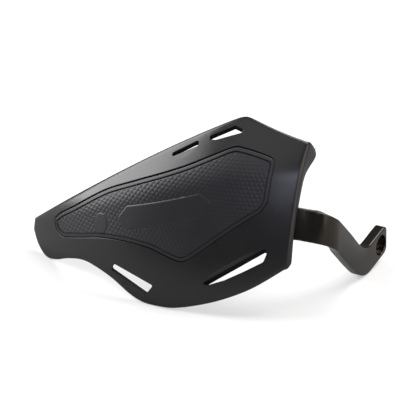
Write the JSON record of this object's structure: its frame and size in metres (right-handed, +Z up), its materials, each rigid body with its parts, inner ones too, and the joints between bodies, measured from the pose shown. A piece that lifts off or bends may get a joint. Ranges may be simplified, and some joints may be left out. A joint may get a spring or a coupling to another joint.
{
  "type": "motorcycle hand guard",
  "caption": "Open hand guard for a motorcycle handlebar: a moulded wrap-round shield with louvred vents and a textured inset panel, on a cranked side arm that ends in a bolt eye.",
  "frame": {"origin": "on the floor under the middle of the guard's outline, as it stands on the lobe and the outboard end of its shield and on the elbow of its arm", "axes": "+X inboard along the handlebar, +Y from the wind to the rider, +Z up"},
  "size_m": [0.2413, 0.1342, 0.1291],
  "materials": {
    "shell_plastic": "satin black, fine moulded grain",
    "panel_plastic": "matt dark grey, honeycomb texture",
    "arm_plastic": "satin, dark warm grey",
    "black_steel": "black zinc",
    "steel": "zinc plated",
    "brass": "knurled insert"
  },
  "bodies": {
    "root": {"guard_shell": "shell_plastic", "panel_insert": "panel_plastic", "mount_arm": "arm_plastic", "arm_screw_outer": "black_steel", "arm_screw_inner": "black_steel", "arm_washer_outer": "steel", "arm_washer_inner": "steel", "boss_insert_outer": "brass", "boss_insert_inner": "brass", "panel_screw_1": "black_steel", "panel_screw_2": "black_steel", "panel_screw_3": "black_steel", "panel_screw_4": "black_steel", "panel_screw_5": "black_steel"}
  },
  "joints": []
}
